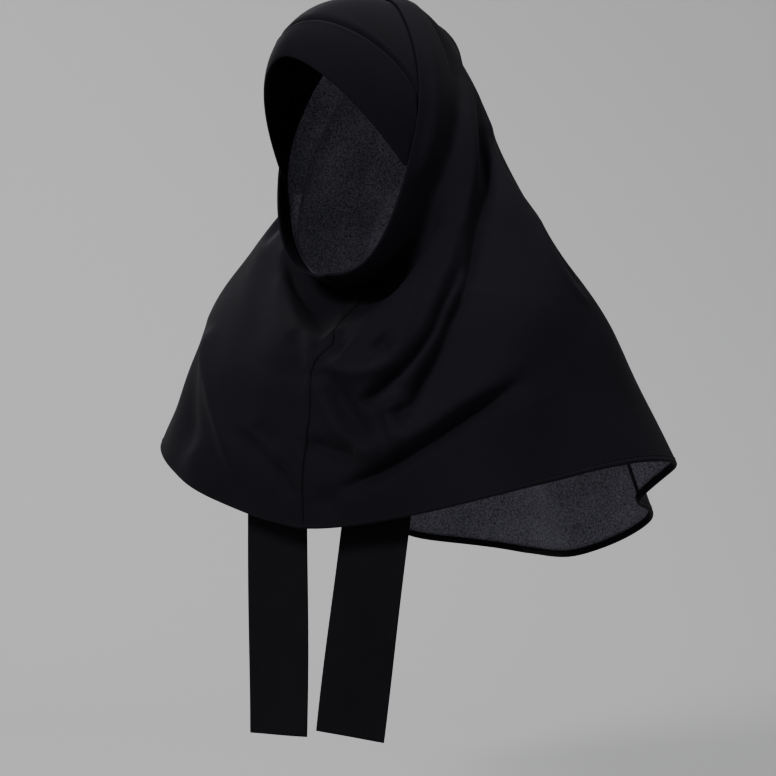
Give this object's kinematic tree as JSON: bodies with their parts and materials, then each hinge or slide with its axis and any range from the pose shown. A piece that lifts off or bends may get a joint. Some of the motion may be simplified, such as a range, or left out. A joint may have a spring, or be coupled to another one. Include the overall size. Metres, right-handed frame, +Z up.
{
  "type": "hijab",
  "caption": "Pull-on head and shoulder covering as worn: draped hood and cape with folds, brow band, crown panel, turned hem and flat hanging ties.",
  "frame": {"origin": "where the inside of the crown sits on top of the head, in line with the head's middle", "axes": "+Z up, -Y the way the wearer's chest faces, +X the wearer's left; the face is turned 8 degrees towards -X"},
  "size_m": [0.5057, 0.327, 0.629],
  "materials": {
    "face_cloth": "matt black crepe with a soft sheen, grey-blue reverse",
    "hem_cloth": "matt black crepe",
    "cap_cloth": "matt black crepe with a soft sheen",
    "tie_cloth": "matt black crepe, pressed flat"
  },
  "bodies": {
    "root": {"cape": "face_cloth", "hem_turn": "hem_cloth", "crown_panel": "cap_cloth", "brow_band": "cap_cloth", "tie_left": "tie_cloth", "tie_right": "tie_cloth"}
  },
  "joints": []
}
